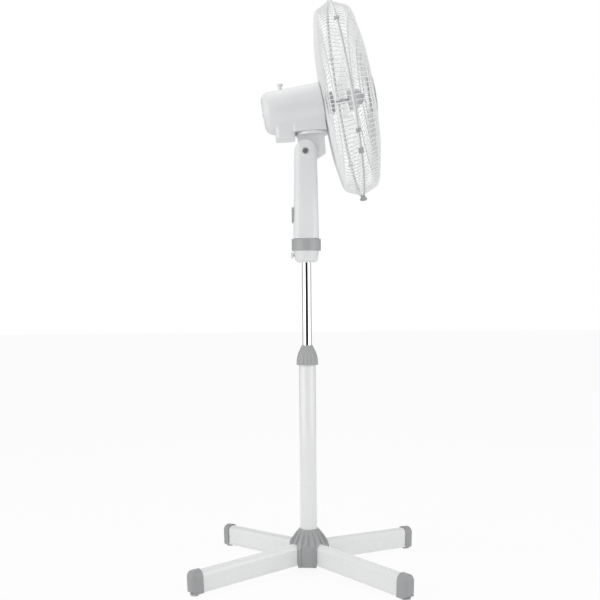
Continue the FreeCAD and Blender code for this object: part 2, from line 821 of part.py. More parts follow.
def make_key(number):
    """One speed key: a bar across the rear of the neck with a stem towards the switch."""
    pitch = D.key_height + D.key_gap
    height = keys_height + pitch * (1.5 - number)
    body = new_body(f"speed_key_{number}", Placement(V(0, 0, float(height)), Rotation()))
    face = D.neck_foot_half + 1.5
    bar = new_sketch(body, f"speed_key_{number}_bar", "XY_Plane")
    half = D.key_width / 2
    add_loop(bar, [(-half, 20), (half, 20), (half, face - 3), (half - 4, face, 60),
                   (4 - half, face), (-half, face - 3)])
    extrude(body, bar, D.key_height, "bar_pad", both=True)
    stem = new_sketch(body, f"speed_key_{number}_stem", "XY_Plane")
    add_loop(stem, [(-4, 16.5), (4, 16.5), (4, 21), (-4, 21)])
    extrude(body, stem, D.key_height - 3, "stem_pad", both=True)


for number in range(4):
    make_key(number)


def make_switch_block():
    """Push-button switch behind the keys."""
    body = new_body("speed_switch", Placement(V(0, 0, float(keys_height)), Rotation()))
    case = new_sketch(body, "speed_switch_case", "XZ_Plane", start=-12)
    half = 2 * D.key_height + 2.5
    add_loop(case, [(-22, -half), (22, -half), (22, half), (-22, half)])
    extrude(body, case, 16, "case_pad")
    ears = new_sketch(body, "speed_switch_ears", "XZ_Plane", start=-10)
    add_loop(ears, [(-26.8, -6), (26.8, -6), (26.8, 6), (-26.8, 6)])
    extrude(body, ears, 2, "ears_pad")


make_switch_block()


def make_tilt_screw():
    """Pivot screw through the fork: head on the left, nut on the right."""
    seat = fork_half + 5
    turned_body("tilt_screw", [
        (0, -seat - 4.5),
        (3.6, -seat - 4.5),
        (4.6, -seat - 3.5),
        (4.6, -seat - 0.05),
        (D.tilt_screw_radius, -seat - 0.05),
        (D.tilt_screw_radius, seat + 5),
        (0, seat + 5),
    ], Placement(V(0, 0, float(tilt_height)), Rotation(Y_AXIS, 90)))
    nut = new_body("tilt_nut", Placement(V(0, 0, float(tilt_height)), Rotation(Y_AXIS, 90)))
    sketch = new_sketch(nut, "tilt_nut_hexagon", "XY_Plane", start=seat + 0.05)
    corners = [(5.6 * math.cos(math.radians(60 * k)), 5.6 * math.sin(math.radians(60 * k)))
               for k in range(6)]
    add_loop(sketch, [(round(x, 4), round(y, 4)) for x, y in corners])
    add_circle(sketch, 0, 0, D.tilt_screw_radius)
    extrude(nut, sketch, 3.6, "pad")


make_tilt_screw()


# ================================================================ TILT BRACKET
def make_bracket():
    """Ear in the neck's fork, a block in front of it and the turntable under the motor."""
    body = new_body("tilt_bracket", bracket_frame())
    half = fork_half - D.moving_gap
    web_top = D.turntable_top - 3
    rear = 15
    web = new_sketch(body, "tilt_bracket_web", "YZ_Plane")
    add_loop(web, [(rear, 0), (rear, web_top), (-44, web_top), (-44, -4), (-24, -15), (0, -17)])
    extrude(body, web, 2 * half, "web_pad", both=True)
    ear = new_sketch(body, "tilt_bracket_ear", "YZ_Plane")
    add_circle(ear, 0, 0, 20)
    extrude(body, ear, 2 * half, "ear_pad", both=True)
    disc = new_sketch(body, "tilt_bracket_disc", "XY_Plane",
                      start=D.turntable_top - D.turntable_thick)
    add_circle(disc, 0, -D.swing_forward, D.turntable_radius)
    extrude(body, disc, D.turntable_thick, "disc_pad")
    arm = new_sketch(body, "tilt_bracket_arm_pin", "XY_Plane", start=D.turntable_top - 1)
    add_circle(arm, D.arm_radius, -D.swing_forward, D.link_pin_radius)
    extrude(body, arm, 9.5, "arm_pin_pad")
    pivot = new_sketch(body, "tilt_bracket_screw_bore", "YZ_Plane")
    add_circle(pivot, 0, 0, D.tilt_screw_radius + D.running_gap)
    extrude(body, pivot, 4 * D.fork_gap, "screw_bore", both=True, cut=True)
    socket = new_sketch(body, "tilt_bracket_pin_socket", "XY_Plane", start=D.turntable_top)
    add_circle(socket, 0, -D.swing_forward, D.swing_pin_radius + D.running_gap)
    extrude(body, socket, 40, "pin_bore", cut=True)


make_bracket()

# ================================================================ MOTOR HEAD
def fan_turn(points):
    """Solid of revolution about the fan's axis, left in the world's frame."""
    return moved(solid_of_turn(points), FAN)


def motor_form(shrink):
    """Rounded motor casing with the saddle over the turntable and the gearbox bulge behind."""
    radius, back = float(D.motor_radius) - shrink, float(D.motor_back) + shrink
    front = float(D.motor_front)
    barrel = solid_of_turn([(0, back), (radius - 1.5, back), (radius, front), (0, front)])
    rear = [edge for edge in barrel.Edges if len(edge.Vertexes) == 1
            and abs(edge.Vertexes[0].Z - back) < 0.01]
    barrel = moved(barrel.makeFillet(20 - shrink, rear), FAN)
    floor = float(D.turntable_top + D.saddle_gap) + shrink
    middle = float(D.turntable_top) + 32.8
    half = 34 - shrink
    saddle = rounded_block((-half, -55 + shrink, floor), (half, 30 - shrink, middle), 14 - shrink)
    bulge = rounded_block((-half, 20 + shrink, floor - 12.5), (half, 63 - shrink, middle),
                          11 - shrink)
    return barrel.fuse([moved(saddle, bracket_frame()), moved(bulge, bracket_frame())])


def cut_at(shape, low, high):
    """The part of a shape between two stations on the fan's axis."""
    slab = block((-200, -200, low), (200, 200, high))
    return shape.common(moved(slab, FAN))


def make_motor_covers():
    skin, joint, front = float(D.cover_skin), float(D.motor_joint), float(D.motor_front)
    outer, hollow = motor_form(0), motor_form(skin)
    rear = cut_at(outer, -250, joint).cut(cut_at(hollow, -250, joint + 5))
    turntable = float(D.turntable_top)
    opening = rod((0, 0, turntable - 12), (0, 0, turntable + 18), float(D.arm_radius) + 7)
    rear = rear.cut(moved(opening, SWING))
    knob_hole = rod((0, 0, float(axis_rise)), (0, 0, float(casing_top) + 14), 4.6)
    rear = rear.cut(moved(knob_hole, CRANK))
    slot = block((12, -1.4, float(D.motor_back) - 5), (28, 1.4, float(D.motor_back) + 5))
    for vent in around(slot, 10):
        rear = rear.cut(moved(vent, FAN))
    shape_piece("motor_rear_cover", max(rear.Solids, key=lambda solid: solid.Volume))

    face = cut_at(outer, joint + 0.1, front).cut(cut_at(hollow, joint - 5, front - skin))
    boss = fan_turn([(0, front - 12), (16, front - 12), (16, front + 26), (0, front + 26)])
    bore = fan_turn([(0, -90), (9, -90), (9, front + 16), (5, front + 16), (5, 0), (0, 0)])
    face = face.fuse(boss).cut(bore)
    shape_piece("motor_front_cover", max(face.Solids, key=lambda solid: solid.Volume))


make_motor_covers()

turned_body("front_end_bracket", [
    (9, D.front_frame),
    (stator_radius - 3, D.front_frame),
    (stator_radius - 3, stack_front),
    (stator_radius + 1.5, stack_front),
    (stator_radius + 1.5, D.front_frame + 3),
    (14, D.front_frame + 3),
    (13, D.front_frame + 9.9),
    (9, D.front_frame + 9.9),
], FAN)
turned_body("rear_end_bracket", [
    (9, D.rear_frame - 9),
    (13, D.rear_frame - 9),
    (14, D.rear_frame - 3),
    (stator_radius + 1.5, D.rear_frame - 3),
    (stator_radius + 1.5, stack_back),
    (stator_radius - 3, stack_back),
    (stator_radius - 3, D.rear_frame),
    (9, D.rear_frame),
], FAN)
for label, low in (("front_bearing", D.front_frame), ("rear_bearing", D.rear_frame - 9)):
    turned_body(label, [
        (D.shaft_radius + D.running_gap, low),
        (9, low),
        (9, low + 9),
        (D.shaft_radius + D.running_gap, low + 9),
    ], FAN)
turned_body("stator_core", [
    (D.rotor_radius + D.moving_gap, stack_back),
    (stator_radius, stack_back),
    (stator_radius, stack_front),
    (D.rotor_radius + D.moving_gap, stack_front),
], FAN)


def make_windings():
    """Copper coils: one ring of turns at each end of the stator."""
    rings = []
    turns = 3.9
    radius = float(stator_radius + D.rotor_radius) / 2 - 0.8
    reach = turns + 0.05
    for station in (float(stack_back) - reach, float(stack_front) + reach):
        rings.append(Part.makeTorus(radius, turns, V(0, 0, station), Z_AXIS))
    shape_piece("stator_windings", Part.makeCompound(rings), FAN)


make_windings()


def make_gearbox_case():
    """Box behind the motor that holds the worm wheel's upright shaft, on two posts."""
    low, high = float(worm_height) - 13, float(worm_height) + 13
    frame = float(D.rear_frame) - 3.02
    case = block((-26, -14, low), (14, 14, high))
    for side in (-22, 10):
        case = case.fuse(rod((side, -10, low - 2.5), (side, -34, low - 2.5), 3.5))
    room = block((-23.5, -11.5, low + 2.5), (11.5, 11.5, high - 2.5))
    case = moved(case.cut(room), CRANK)
    case = case.cut(fan_turn([(0, -200), (6.2, -200), (6.2, -100), (0, -100)]))
    motor_side = fan_turn([(0, frame), (90, frame), (90, 0), (0, 0)])
    case = case.cut(motor_side)
    bearing = rod((0, 0, low - 5), (0, 0, low + 5), float(D.wheel_shaft_radius + D.running_gap))
    knob_hole = rod((0, 0, high - 5), (0, 0, high + 5), float(D.knob_rod_radius) + 0.1)
    case = case.cut(moved(bearing, CRANK)).cut(moved(knob_hole, CRANK))
    shape_piece("gearbox_case", max(case.Solids, key=lambda solid: solid.Volume))


make_gearbox_case()

turned_body("swing_pin", [
    (0, D.turntable_top - 36),
    (D.swing_pin_radius, D.turntable_top - 36),
    (D.swing_pin_radius, D.turntable_top + 9),
    (9, D.turntable_top + 9),
    (9, D.turntable_top + 12.4),
    (0, D.turntable_top + 12.4),
], SWING)


def make_worm_wheel():
    """Worm wheel, its upright shaft and the crank disc with the crank pin."""
    body = new_body("worm_wheel", CRANK)
    radius = D.crank_side - D.worm_radius - 0.2
    shaft = D.wheel_shaft_radius
    disc_floor = link_height + D.link_thick + 1.2
    revolve(body, [
        (0, disc_floor),
        (D.crank_throw + 3.5, disc_floor),
        (D.crank_throw + 3.5, disc_floor + 3),
        (shaft, disc_floor + 3),
        (shaft, worm_height - 5),
        (radius, worm_height - 5),
        (radius, worm_height + 5),
        (shaft, worm_height + 5),
        (shaft, worm_height + 7),
        (0, worm_height + 7),
    ])
    pin = new_sketch(body, "worm_wheel_crank_pin", "XY_Plane", start=link_height - 1.5)
    add_circle(pin, D.crank_throw, 0, D.link_pin_radius)
    extrude(body, pin, D.link_thick + 3, "crank_pin_pad")
    tooth = new_sketch(body, "worm_wheel_tooth_gap", "XY_Plane", start=worm_height - 6)
    root = radius - 1.6
    add_loop(tooth, [(root, -0.5), (radius + 2, -1.1), (radius + 2, 1.1), (root, 0.5)])
    gap = extrude(body, tooth, 12, "tooth_gap_cut", cut=True, back=True)
    pattern(body, gap, 22, "teeth")


def make_swing_link():
    """Flat bar from the bracket's arm pin back to the crank pin, which it clears."""
    body = new_body("swing_link", bracket_frame(forward=D.swing_forward))
    across, back = D.crank_side + D.crank_throw - D.arm_radius, D.crank_back
    length = math.hypot(across.value, back.value)
    along = V(across.value / length, back.value / length, 0)
    bar = new_sketch(body, "swing_link_bar", "XY_Plane", start=link_height)
    half = 2.5
    first, last = (D.arm_radius, as_size(0)), (D.crank_side + D.crank_throw, D.crank_back)
    side_x, side_y = -along.y * half, along.x * half
    add_loop(bar, [(first[0] - side_x, first[1] - side_y), (last[0] - side_x, last[1] - side_y),
                   (last[0] + side_x, last[1] + side_y), (first[0] + side_x, first[1] + side_y)])
    extrude(body, bar, D.link_thick, "bar_pad")
    for name, centre, hole in (("arm_eye", first, D.link_pin_radius + D.running_gap),
                               ("crank_eye", last, D.link_pin_radius + D.link_eye_gap)):
        eye = new_sketch(body, f"swing_link_{name}", "XY_Plane", start=link_height)
        add_circle(eye, centre[0], centre[1], hole + 2.4)
        extrude(body, eye, D.link_thick, f"{name}_pad")
        bore = new_sketch(body, f"swing_link_{name}_bore", "XY_Plane", start=link_height - 1)
        add_circle(bore, centre[0], centre[1], hole)
        extrude(body, bore, D.link_thick + 2, f"{name}_cut", cut=True, back=True)


make_worm_wheel()
make_swing_link()

turned_body("swing_knob", [
    (0, worm_height + 14.5),
    (D.knob_rod_radius, worm_height + 14.5),
    (D.knob_rod_radius, casing_top - 18),
    (4, casing_top - 18),
    (4, casing_top + 6),
    (6.5, casing_top + 7),
    (7, casing_top + 9.5),
    (5.5, casing_top + 12),
    (0, casing_top + 12.6),
], CRANK)

# ================================================================ ROTOR AND BLADES
turned_body("motor_shaft", [
    (0, -158),
    (D.shaft_radius, -158),
    (D.shaft_radius, -151),
    (D.worm_radius, -150),
    (D.worm_radius, -135),
    (D.shaft_radius, -134),
    (D.shaft_radius, 24),
    (0, 24),
], FAN)
turned_body("rotor_core", [
    (D.shaft_radius, stack_back),
    (D.rotor_radius, stack_back),
    (D.rotor_radius, stack_front),
    (D.shaft_radius, stack_front),
], FAN)


def blade_section(reach, chord, pitch, thick):
    """Curved plate section of a blade at a distance from the axis, as a closed wire."""
    camber = chord * 0.09
    outline = []
    for offset in (thick / 2, -thick / 2):
        points = [V(-chord / 2, offset * 0.6, 0), V(0, offset + camber, 0), V(chord / 2, offset * 0.6, 0)]
        outline.append(points)
    upper = Part.Arc(*outline[0]).toShape()
    lower = Part.Arc(*outline[1]).toShape()
    front = Part.makeLine(outline[0][2], outline[1][2])
    back = Part.makeLine(outline[0][0], outline[1][0])
    wire = Part.Wire([upper, front, lower, back])
    turn = Rotation(X_AXIS, 90).multiply(Rotation(Z_AXIS, pitch))
    return moved(wire, Placement(V(0, -reach, 0), turn))


def make_blade_wheel():
    """Hub with swept, twisted blades."""
    sections = []
    tip = float(D.blade_radius)
    root = float(D.blade_hub_radius) - 9
    for share, chord, pitch in ((0, 42, 34), (0.3, 84, 29), (0.65, 118, 23), (1, 122, 18)):
        reach = root + (tip + 4 - root) * share
        sections.append(blade_section(reach, chord, pitch, float(D.blade_thick)))
    blade = Part.makeLoft(sections, True, False)
    outline_points = [V(-20, -root + 3, -60), V(-66, -tip * 0.62, -60), V(-52, -tip * 0.93, -60),
                      V(-12, -tip, -60), V(40, -tip * 0.93, -60), V(62, -tip * 0.66, -60),
                      V(44, -tip * 0.36, -60), V(20, -root + 3, -60)]
    curve = Part.BSplineCurve()
    curve.interpolate(outline_points)
    edge = curve.toShape()
    foot = Part.makeLine(outline_points[-1], outline_points[0])
    trim = Part.Face(Part.Wire([edge, foot])).extrude(V(0, 0, 120))
    blade = max(blade.common(trim).Solids, key=lambda solid: solid.Volume)
    hub = solid_of_turn([
        (4, -11), (9, -11), (9, -1), (34.5, -1), (34.5, -11), (38, -11), (38, 4), (35, 7),
        (4, 7)])
    wheel = hub.fuse(around(blade, D.blade_count))
    wheel = wheel.cut(solid_of_turn([(0, -60), (4, -60), (4, 60), (0, 60)]))
    inside = solid_of_turn([(9, -40), (34.5, -40), (34.5, -1), (9, -1)])
    wheel = wheel.cut(inside)
    shape_piece("blade_wheel", max(wheel.Solids, key=lambda solid: solid.Volume), FAN)


make_blade_wheel()

turned_body("spinner", [
    (D.shaft_radius, 7.1),
    (D.spinner_radius, 7.1),
    (D.spinner_radius, 12),
    (D.spinner_radius - 2.5, 24, 40),
    (D.spinner_radius - 15, 39),
    (D.spinner_radius - 17, 41),
    (0, 41),
    (0, 24.1),
    (D.shaft_radius, 24.1),
], FAN)

# ================================================================ GUARD
turned_body("guard_nut", [
    (16.05, -46),
    (27, -46),
    (27, -43),
    (24.5, -41),
    (24.5, -28),
    (22, -26),
    (16.05, -26),
], FAN)


def filleted_path(corners, radii):
    """Wire in the X-Z plane: straight runs through the corners, joined by tangent arcs."""
    points = [V(float(r), 0, float(z)) for r, z in corners]
    edges = []
    start = points[0]
    for number, radius in enumerate(radii, start=1):
        corner, before, after = points[number], points[number - 1], points[number + 1]
        back, ahead = (before - corner).normalize(), (after - corner).normalize()
        half = back.getAngle(ahead) / 2
        reach = radius / math.tan(half)
        middle_way = (back + ahead).normalize()
        centre = corner + middle_way * (radius / math.sin(half))
        first, last = corner + back * reach, corner + ahead * reach
        edges.append(Part.makeLine(start, first))
        edges.append(Part.Arc(first, centre - middle_way * radius, last).toShape())
        start = last
    edges.append(Part.makeLine(start, points[-1]))
    return Part.Wire(edges)


def wire_along(path, radius):
    """Round wire swept along a path."""
    first = path.OrderedEdges[0]
    start = first.firstVertex().Point if first.Orientation == "Forward" else first.lastVertex().Point
    direction = first.tangentAt(first.FirstParameter)
    section = Part.Wire(Part.makeCircle(radius, start, direction))
    return path.makePipeShell([section], True, False)


def guard_path(side):
    """Corners of one radial wire: side is -1 for the rear guard and 1 for the front."""
    rim = float(D.guard_radius)
    if side < 0:
        depth = float(D.guard_depth_back)
        return [(40, -depth), (rim * 0.68, -depth * 0.87), (rim * 0.93, -depth * 0.68), (rim, -1)]
    depth = float(D.guard_depth_front)
    return [(40, depth), (rim * 0.66, depth * 0.83), (rim * 0.93, depth * 0.62), (rim, 1)]


def height_on(path, reach):
    """Station of a guard wire's straight run at a distance from the axis."""
    for (r0, z0), (r1, z1) in zip(path, path[1:]):
        if r0 <= reach <= r1:
            return z0 + (z1 - z0) * (reach - r0) / (r1 - r0)
    return path[-1][1]


# radius of each ring that carries the wires, and how steeply the wires run past it
RING_SEATS = ((48, 0.06), (96, 0.06), (128, 0.06), (178, 0.5))


def make_guard(name, side):
    """One guard half: radial wires in one node, the rings that carry them in another."""
    path = guard_path(side)
    wire = wire_along(filleted_path(path, (60, 16)), float(D.wire_radius))
    wires = around(wire, D.guard_wires)
    shape_piece(f"{name}_guard_wires", Part.makeCompound(wires), FAN)
    rings = []
    contact = float(D.wire_radius + D.ring_radius) + 0.02
    for reach, slope in RING_SEATS:
        station = height_on(path, reach) - side * contact * math.hypot(1, slope)
        rings.append(Part.makeTorus(reach, float(D.ring_radius), V(0, 0, station), Z_AXIS))
    return rings


rear_rings = make_guard("rear", -1)
front_rings = make_guard("front", 1)
rim_inside = D.guard_radius + D.wire_radius + 0.02
rim_middle = float(rim_inside + D.rim_wire_radius)
rear_rings.append(Part.makeTorus(rim_middle, float(D.rim_wire_radius),
                                 V(0, 0, -float(D.rim_wire_radius) - 0.05), Z_AXIS))
shape_piece("rear_guard_rings", Part.makeCompound(rear_rings), FAN)
shape_piece("front_guard_rings", Part.makeCompound(front_rings), FAN)

turned_body("guard_plate", [
    (16.1, -51),
    (47, -51),
    (47, -51.9),
    (50, -51.9),
    (50, -52.9),
    (16.1, -52.9),
], FAN)
turned_body("front_rim_hoop", [
    (rim_inside, 0),
    (rim_inside + 2 * D.rim_wire_radius, 0),
    (rim_inside + 2 * D.rim_wire_radius, D.hoop_depth),
    (rim_inside, D.hoop_depth),
], FAN)


def rim_clip(angle, half_width, thick):
    """C-shaped clip hooked over the rear rim wire and the front hoop from outside."""
    inner = float(rim_inside) + 0.1
    outer = inner + 2 * float(D.rim_wire_radius)
    back = -2 * float(D.rim_wire_radius) - 0.35
    front = float(D.hoop_depth) + 0.2
    clip = block((inner, -half_width, back - thick), (outer + thick, half_width, front + thick))
    channel = solid_of_turn([(0, back), (outer, back), (outer, front), (0, front)])
    return moved(clip.cut(channel), Placement(ORIGIN, Rotation(Z_AXIS, angle)))


def make_rim_fittings():
    """Clips round the rim, the latch, and the lug and screw at the bottom."""
    clips = [rim_clip(angle, 3.5, 1.6) for angle in (39, -33.5, -60, 141, 208, 90)]
    lug = rim_clip(-90, 5, 1.6)
    outer = float(rim_inside + 2 * D.rim_wire_radius) + 1.5
    tab = block((outer, -5, -5), (outer + 8, 5, 5))
    tab = tab.cut(rod((outer + 4.5, 0, -9), (outer + 4.5, 0, 9), 1.6))
    clips.append(lug.fuse(moved(tab, Placement(ORIGIN, Rotation(Z_AXIS, -90)))))
    shape_piece("rim_clips", Part.makeCompound([clip.Solids[0] for clip in clips]), FAN)
    shape_piece("rim_latch", rim_clip(220, 5.5, 1.8).Solids[0], FAN)
    shank = rod((0, 0, -8), (0, 0, 8), 1.55)
    head = rod((0, 0, 5.05), (0, 0, 7), 3)
    nut = rod((0, 0, -7.5), (0, 0, -5.05), 2.8)
    screw = moved(shank.fuse([head, nut]), Placement(V(0, -outer - 4.5, 0), Rotation()))
    shape_piece("rim_screw", screw.Solids[0], FAN)


make_rim_fittings()

turned_body("cover_screw", [
    (0, D.motor_back - 1.6),
    (2.6, D.motor_back - 1.6),
    (3.8, D.motor_back - 0.05),
    (0, D.motor_back - 0.05),
], FAN)
turned_body("front_badge", [
    (0, D.guard_depth_front + 1),
    (D.badge_radius - 2, D.guard_depth_front + 1),
    (D.badge_radius, D.guard_depth_front + 1.6),
    (D.badge_radius - 4, D.guard_depth_front + 3.4),
    (0, D.guard_depth_front + 5),
], FAN)

# ================================================================ CHECK AND WRITE
doc.recompute()
for item in doc.Objects:
    if "Invalid" in item.State or "Error" in item.State:
        raise RuntimeError(f"{item.Label} failed: {item.State}")
for piece in pieces:
    if piece.Shape.isNull() or not piece.Shape.isValid():
        raise RuntimeError(f"{piece.Label} has no valid shape")
os.makedirs("parts", exist_ok=True)
for piece in pieces:
    piece.Shape.exportStep(os.path.join("parts", f"{piece.Label}.step"))
    print(piece.Label, round(piece.Shape.Volume), len(piece.Shape.Solids))
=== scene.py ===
import bmesh
import bpy
import json
import math
from mathutils import Matrix, Vector


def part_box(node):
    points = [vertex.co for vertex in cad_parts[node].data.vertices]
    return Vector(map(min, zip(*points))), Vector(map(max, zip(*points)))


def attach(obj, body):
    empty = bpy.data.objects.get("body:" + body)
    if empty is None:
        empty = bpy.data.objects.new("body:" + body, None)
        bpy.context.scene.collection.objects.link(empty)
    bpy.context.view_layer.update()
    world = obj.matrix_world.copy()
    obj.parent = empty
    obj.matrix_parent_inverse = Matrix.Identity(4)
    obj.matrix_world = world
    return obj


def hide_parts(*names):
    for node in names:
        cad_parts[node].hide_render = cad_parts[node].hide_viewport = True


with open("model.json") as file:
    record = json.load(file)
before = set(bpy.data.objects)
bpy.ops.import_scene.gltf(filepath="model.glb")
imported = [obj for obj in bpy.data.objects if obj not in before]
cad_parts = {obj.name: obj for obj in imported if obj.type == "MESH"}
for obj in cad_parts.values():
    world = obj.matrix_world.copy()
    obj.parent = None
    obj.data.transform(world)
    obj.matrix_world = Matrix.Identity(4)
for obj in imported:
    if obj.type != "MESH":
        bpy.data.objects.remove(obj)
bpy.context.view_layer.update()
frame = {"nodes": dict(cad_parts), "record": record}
record = frame["record"]
nodes = frame["nodes"]


# ------------------------------------------------------------------ shader expressions
class Wire:
    """A shader value that can be used in plain arithmetic."""

    def __init__(self, tree, socket):
        self.tree = tree
        self.socket = socket

    def math(self, operation, *others, clamp=False):
        node = self.tree.nodes.new("ShaderNodeMath")
        node.operation = operation
        node.use_clamp = clamp
        for slot, value in zip(node.inputs, (self,) + others):
            plug(self.tree, slot, value)
        return Wire(self.tree, node.outputs[0])

    def __add__(self, other):
        return self.math("ADD", other)

    def __mul__(self, other):
        return self.math("MULTIPLY", other)

    __radd__ = __add__
    __rmul__ = __mul__


def plug(tree, slot, value):
    """Link a shader value into a socket, or set the socket to a plain number or colour."""
    if isinstance(value, Wire):
        tree.links.new(value.socket, slot)
    else:
        slot.default_value = value


class Nodes:
    """A node tree under construction."""

    def __init__(self, tree):
        self.tree = tree
        tree.nodes.clear()

    def node(self, kind, settings=None, sockets=None):
        """Add a node: its settings first, then what its sockets, by name or number, take."""
        made = self.tree.nodes.new(kind)
        for key, value in (settings or {}).items():
            if key == "stops":
                for element, (position, level) in zip(made.color_ramp.elements, value):
                    element.position = position
                    element.color = colour(level, level, level)
            else:
                setattr(made, key, value)
        for key, value in (sockets or {}).items():
            plug(self.tree, made.inputs[key], value)
        return made

    def out(self, node, name=0):
        return Wire(self.tree, node.outputs[name])

    def blend(self, amount, first, second):
        """Mix of two shaders: the second one where amount is 1."""
        return self.out(self.node("ShaderNodeMixShader", sockets={0: amount, 1: first, 2: second}))

    def background_rays(self):
        """One for rays that see the background, straight or in gloss and glass, else zero."""
        path = self.node("ShaderNodeLightPath")
        seen = self.out(path, "Is Camera Ray")
        for name in ("Is Glossy Ray", "Is Transmission Ray"):
            seen = seen.math("ADD", self.out(path, name), clamp=True)
        return seen


class Finish(Nodes):
    """One material under construction: its node tree and its main shader."""

    def __init__(self, name):
        self.material = bpy.data.materials.new(name)
        self.material.use_nodes = True
        super().__init__(self.material.node_tree)
        self.output = self.node("ShaderNodeOutputMaterial")
        self.shader = self.node("ShaderNodeBsdfPrincipled")
        self.surface(self.out(self.shader))

    def surface(self, shader):
        plug(self.tree, self.output.inputs["Surface"], shader)

    def place(self):
        """Position on the object, in metres."""
        return self.out(self.node("ShaderNodeTexCoord"), "Object")

    def noise(self, scale, detail=3.0, roughness=0.5, stretch=None):
        where = self.place()
        if stretch is not None:
            mapping = self.node("ShaderNodeMapping", sockets={"Vector": where, "Scale": stretch})
            where = self.out(mapping)
        texture = self.node("ShaderNodeTexNoise", sockets={
            "Vector": where, "Scale": scale, "Detail": detail, "Roughness": roughness})
        return self.out(texture, "Fac")

    def ramp(self, value, stops):
        """Grey ramp between two stops of (position, level)."""
        return self.out(self.node("ShaderNodeValToRGB", {"stops": stops}, {0: value}))

    def mix(self, amount, first, second):
        """Mix of two colours: the second one where amount is 1."""
        sockets = {"Factor": amount, 6: first, 7: second}
        return self.out(self.node("ShaderNodeMix", {"data_type": "RGBA"}, sockets), 2)

    def bump(self, height, strength, distance):
        return self.out(self.node("ShaderNodeBump", sockets={
            "Strength": strength, "Distance": distance, "Height": height}))

    def set(self, **values):
        """Set or link the main shader's own sockets, with _ for a space in their names."""
        for key, value in values.items():
            plug(self.tree, self.shader.inputs[key.replace("_", " ")], value)


def colour(*levels):
    return tuple(levels) + (1,)


def moulded(name, tone, tone_low, rough, grain, grain_depth, coat=0.0):
    """Moulded or painted skin: faint mottling, uneven gloss and a fine surface grain."""
    skin = Finish(name)
    cloud = skin.noise(9, detail=4)
    speck = skin.noise(420, detail=2)
    mottling = skin.ramp(cloud * 0.7 + speck * 0.3, [(0.38, 0), (0.64, 1)])
    skin.set(Base_Color=skin.mix(mottling, colour(*tone_low), colour(*tone)),
             Roughness=skin.noise(35, detail=4) * 0.16 + (rough - 0.08),
             Coat_Weight=coat, Coat_Roughness=0.12,
             Normal=skin.bump(skin.noise(grain, detail=2), 0.25, grain_depth))
    return skin.material


def make_enamel():
    """White enamel on steel tube: slight orange peel and faint rub marks."""
    skin = Finish("white_enamel_finish")
    cloud = skin.ramp(skin.noise(6, detail=5), [(0.35, 0), (0.68, 1)])
    rubs = skin.ramp(skin.noise(60, detail=3), [(0.55, 0), (0.8, 1)])
    base = skin.mix(cloud, colour(0.86, 0.865, 0.87), colour(0.89, 0.895, 0.90))
    skin.set(Base_Color=skin.mix(rubs * 0.12, base, colour(0.76, 0.765, 0.77)),
             Roughness=skin.noise(40, detail=3) * 0.1 + 0.2 + rubs * 0.05,
             Coat_Weight=0.35, Coat_Roughness=0.08,
             Normal=skin.bump(skin.noise(520, detail=2), 0.05, 0.0002))
    return skin.material


def make_chrome():
    """Bright plating with very fine lengthwise drawing marks and a few dull spots."""
    skin = Finish("chrome_finish")
    drawn = skin.noise(900, detail=3, stretch=(1, 1, 0.02))
    dull = skin.ramp(skin.noise(90, detail=4), [(0.55, 0), (0.75, 1)])
    skin.set(Base_Color=skin.mix(dull * 0.4, colour(0.83, 0.84, 0.85), colour(0.66, 0.67, 0.69)),
             Metallic=1.0, Roughness=drawn * 0.05 + 0.04 + dull * 0.06,
             Normal=skin.bump(drawn, 0.08, 0.0001))
    return skin.material


def make_metal(name, tone, tone_low, rough, stretch=(1, 1, 1), scale=500, depth=0.0003):
    """Bare metal with tool marks and a faint uneven stain."""
    skin = Finish(name)
    marks = skin.noise(scale, detail=3, stretch=stretch)
    stain = skin.ramp(skin.noise(70, detail=4), [(0.4, 0), (0.7, 1)])
    skin.set(Base_Color=skin.mix(stain, colour(*tone_low), colour(*tone)), Metallic=1.0,
             Roughness=marks * 0.2 + (rough - 0.1),
             Normal=skin.bump(marks, 0.3, depth))
    return skin.material


def make_clear():
    """Translucent blade plastic: thin milky tint, flow marks and fine moulding texture."""
    skin = Finish("clear_plastic_finish")
    flow = skin.noise(22, detail=4, roughness=0.6)
    skin.set(Base_Color=skin.mix(skin.ramp(flow, [(0.35, 0), (0.7, 1)]),
                                 colour(0.86, 0.875, 0.89), colour(0.92, 0.93, 0.94)),
             Roughness=flow * 0.12 + 0.14, Alpha=flow * 0.08 + 0.14,
             Coat_Weight=0.2, Normal=skin.bump(skin.noise(240, detail=2), 0.15, 0.0004))
    return skin.material


def make_core():
    """Stacked steel laminations, seen as fine lines across the fan's axis."""
    skin = Finish("core_steel_finish")
    wave = skin.node("ShaderNodeTexWave", {"wave_type": "BANDS", "bands_direction": "Y"},
                     {"Vector": skin.place(), "Scale": 320.0, "Distortion": 0.4})
    lines = skin.out(wave, "Fac")
    skin.set(Base_Color=skin.mix(lines, colour(0.16, 0.17, 0.18), colour(0.36, 0.37, 0.39)),
             Metallic=0.8, Roughness=skin.noise(80) * 0.2 + 0.35,
             Normal=skin.bump(lines, 0.4, 0.0005))
    return skin.material


# moulded finishes: bright tone, dark tone, roughness, grain per metre, grain depth (m), coat
MOULDED = {
    "white_plastic": ((0.83, 0.84, 0.845), (0.795, 0.80, 0.81), 0.34, 1400, 0.0002, 0.15),
    "white_wire": ((0.90, 0.905, 0.91), (0.87, 0.875, 0.88), 0.36, 700, 0.0002, 0.2),
    "grey_plastic": ((0.42, 0.425, 0.43), (0.38, 0.385, 0.39), 0.34, 1300, 0.0003),
    "dark_plastic": ((0.16, 0.16, 0.165), (0.12, 0.12, 0.125), 0.5, 1200, 0.0003),
    "pale_rubber": ((0.68, 0.68, 0.67), (0.58, 0.58, 0.57), 0.75, 900, 0.0005),
    "nylon": ((0.74, 0.72, 0.66), (0.66, 0.64, 0.58), 0.45, 900, 0.0003),
}
